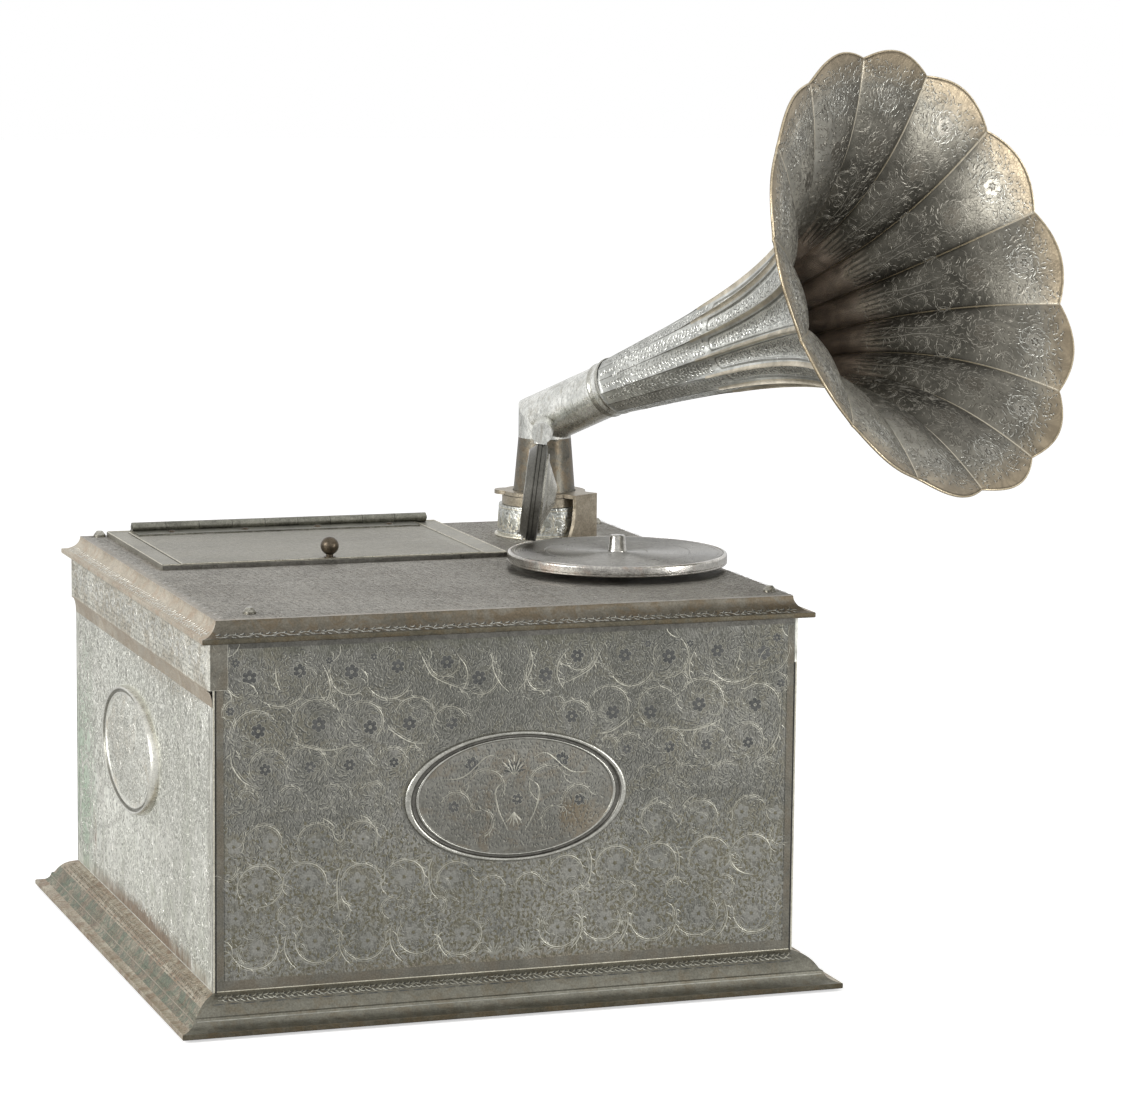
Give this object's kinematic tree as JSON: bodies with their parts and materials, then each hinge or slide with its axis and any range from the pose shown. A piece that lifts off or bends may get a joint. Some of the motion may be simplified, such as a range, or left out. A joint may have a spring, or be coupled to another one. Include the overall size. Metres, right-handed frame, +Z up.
{
  "type": "table phonograph",
  "caption": "Square engraved metal case with lidded compartment, crank-wound spring motor, turntable, swinging tone arm with sound box, and a scalloped petal horn on a turning post.",
  "frame": {"origin": "on the ground under the middle of the case, in the plane of the felt feet", "axes": "+X to the right along the front, +Y to the back, +Z up"},
  "size_m": [0.5835, 0.46, 0.5482],
  "materials": {
    "felt": "matte",
    "wood": "satin",
    "engraved_silver": "engraved, silvered and tarnished",
    "deck_silver": "fine speckled, silvered",
    "plain_silver": "brushed, silvered",
    "horn_silver": "engraved outside, glossy dark inside",
    "dark_bronze": "dark bronze",
    "turned_steel": "turned",
    "motor_brass": "satin",
    "motor_steel": "satin",
    "dark_wood": "polished",
    "mica": "clear"
  },
  "bodies": {
    "case": {"felt_feet": "felt", "bottom_board": "wood", "base_rails": "engraved_silver", "front_panel": "engraved_silver", "back_panel": "engraved_silver", "left_panel": "engraved_silver", "right_panel": "engraved_silver", "corner_posts": "wood", "cornice_rails": "engraved_silver", "skirt_band": "engraved_silver", "front_medallion": "engraved_silver", "side_medallions": "engraved_silver", "deck_plate": "deck_silver", "deck_screws": "dark_bronze", "lid_frame": "deck_silver", "compartment_tray": "wood", "frame_hinge_leaf": "dark_bronze", "hinge_pin": "dark_bronze", "motor_top_plate": "motor_brass", "motor_bottom_plate": "motor_brass", "motor_pillars": "motor_brass", "motor_hangers": "motor_steel", "crank_bush": "motor_brass", "turret_collar": "engraved_silver", "post_bracket": "plain_silver"},
    "lid": {"lid": "deck_silver", "lid_hinge_leaf": "dark_bronze", "hinge_rivets": "dark_bronze", "lid_knob": "dark_bronze"},
    "spring_drum": {"spring_barrel": "motor_brass", "barrel_cover": "motor_brass", "mainspring": "motor_steel"},
    "arbor": {"winding_arbor": "motor_steel", "crown_wheel": "motor_brass", "ratchet_wheel": "motor_steel"},
    "click": {"pawl": "motor_steel"},
    "crank": {"crank_shaft": "motor_steel", "winding_pinion": "motor_steel", "crank_arm": "motor_steel"},
    "handle": {"crank_handle": "dark_wood"},
    "intermediate": {"intermediate_arbor": "motor_steel", "intermediate_wheel": "motor_brass"},
    "table": {"spindle": "turned_steel", "spindle_wheel": "motor_brass", "turntable": "turned_steel"},
    "governor": {"governor_shaft": "motor_steel", "governor_weights": "motor_brass", "friction_disc": "motor_steel"},
    "lever": {"speed_lever": "motor_steel"},
    "swing": {"swivel_ring": "plain_silver", "post": "plain_silver", "elbow": "plain_silver", "horn": "horn_silver", "tone_arm": "plain_silver"},
    "sound_box": {"throat": "plain_silver", "sound_box_back": "plain_silver", "sound_box_ring": "plain_silver", "diaphragm": "mica", "needle_bar": "motor_steel", "needle": "motor_steel"}
  },
  "joints": [
    {"name": "table_spin", "type": "hinge", "parent": "case", "child": "table", "pos_m": [0.1096, -0.0482, 0.24], "axis": [0, 0, 1], "continuous": true},
    {"name": "intermediate_spin", "type": "hinge", "parent": "case", "child": "intermediate", "pos_m": [0.09503, -0.07848, 0.19], "axis": [0, 0, 1], "continuous": true},
    {"name": "drum_spin", "type": "hinge", "parent": "case", "child": "spring_drum", "pos_m": [0.052, -0.066, 0.18], "axis": [0, 0, 1], "continuous": true},
    {"name": "governor_spin", "type": "hinge", "parent": "case", "child": "governor", "pos_m": [0.1226, -0.03095, 0.19], "axis": [0, 0, 1], "continuous": true},
    {"name": "crank_turn", "type": "hinge", "parent": "case", "child": "crank", "pos_m": [0.052, 0.1, 0.13165], "axis": [0, 1, 0], "continuous": true},
    {"name": "arbor_spin", "type": "hinge", "parent": "case", "child": "arbor", "pos_m": [0.052, -0.066, 0.16], "axis": [0, 0, 1], "continuous": true},
    {"name": "handle_spin", "type": "hinge", "parent": "crank", "child": "handle", "pos_m": [0.122, 0.2, 0.13165], "axis": [0, 1, 0], "continuous": true},
    {"name": "click_lift", "type": "hinge", "parent": "case", "child": "click", "pos_m": [0.075, -0.066, 0.147], "axis": [0, 0, 1], "range_deg": [-15, 11]},
    {"name": "speed_swing", "type": "hinge", "parent": "case", "child": "lever", "pos_m": [0.092, -0.008, 0.209], "axis": [0, 0, 1], "range_deg": [-0.9, 8]},
    {"name": "lid_open", "type": "hinge", "parent": "case", "child": "lid", "pos_m": [0, 0.163, 0.238], "axis": [-1, 0, 0], "range_deg": [0, 105]},
    {"name": "arm_swing", "type": "hinge", "parent": "case", "child": "swing", "pos_m": [0.1165, 0.1088, 0.26], "axis": [0, 0, 1], "range_deg": [-35, 17]},
    {"name": "box_turn", "type": "hinge", "parent": "swing", "child": "sound_box", "pos_m": [0.07519, -0.00533, 0.31091], "axis": [-0.3395, -0.9378, 0.0732], "range_deg": [-15, 110]}
  ],
  "couplings": [
    {"joint": "intermediate_spin", "follows": "table_spin", "ratio": -0.16667},
    {"joint": "drum_spin", "follows": "table_spin", "ratio": 0.027778},
    {"joint": "governor_spin", "follows": "table_spin", "ratio": -5},
    {"joint": "arbor_spin", "follows": "crank_turn", "ratio": -0.3}
  ]
}
